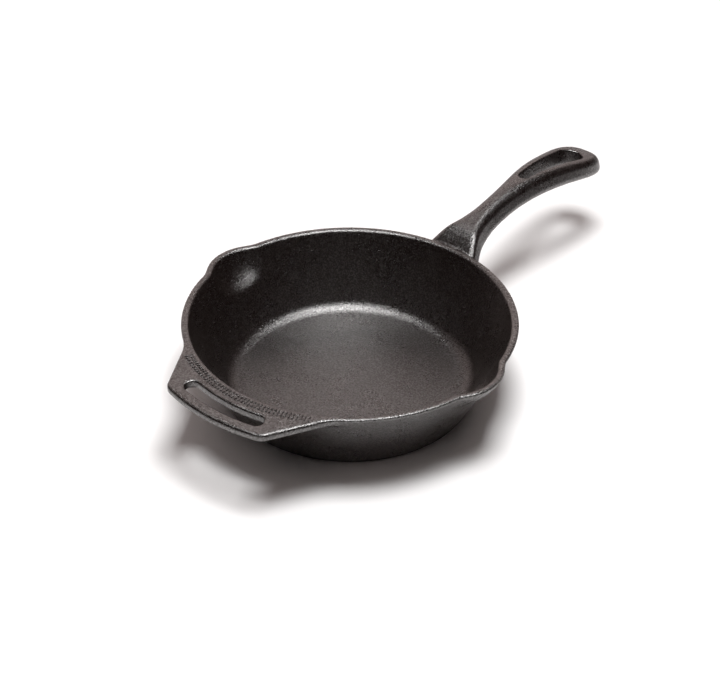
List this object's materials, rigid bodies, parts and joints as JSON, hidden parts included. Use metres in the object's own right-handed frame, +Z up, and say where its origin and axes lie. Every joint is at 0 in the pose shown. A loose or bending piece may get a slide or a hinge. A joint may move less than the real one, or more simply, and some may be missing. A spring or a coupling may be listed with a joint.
{
  "type": "cast iron skillet",
  "caption": "Flared round frying pan with pour spouts, a long domed handle ending in a hanging eye, and a short slotted helper handle.",
  "frame": {"origin": "centre of the flat base's underside, on the pan's axis", "axes": "+Z up, +X along the long handle away from the pan, helper handle towards -X, pour spouts towards +Y and -Y"},
  "size_m": [0.3752, 0.212, 0.0674],
  "materials": {
    "seasoned_iron": "seasoned sand-cast surface, satin, fine grain"
  },
  "bodies": {
    "root": {"cooking_floor": "seasoned_iron", "side_wall": "seasoned_iron", "left_pour_spout": "seasoned_iron", "right_pour_spout": "seasoned_iron", "handle_shank": "seasoned_iron", "handle_eye": "seasoned_iron", "helper_handle": "seasoned_iron", "handle_mark": "seasoned_iron", "helper_mark": "seasoned_iron"}
  },
  "joints": []
}
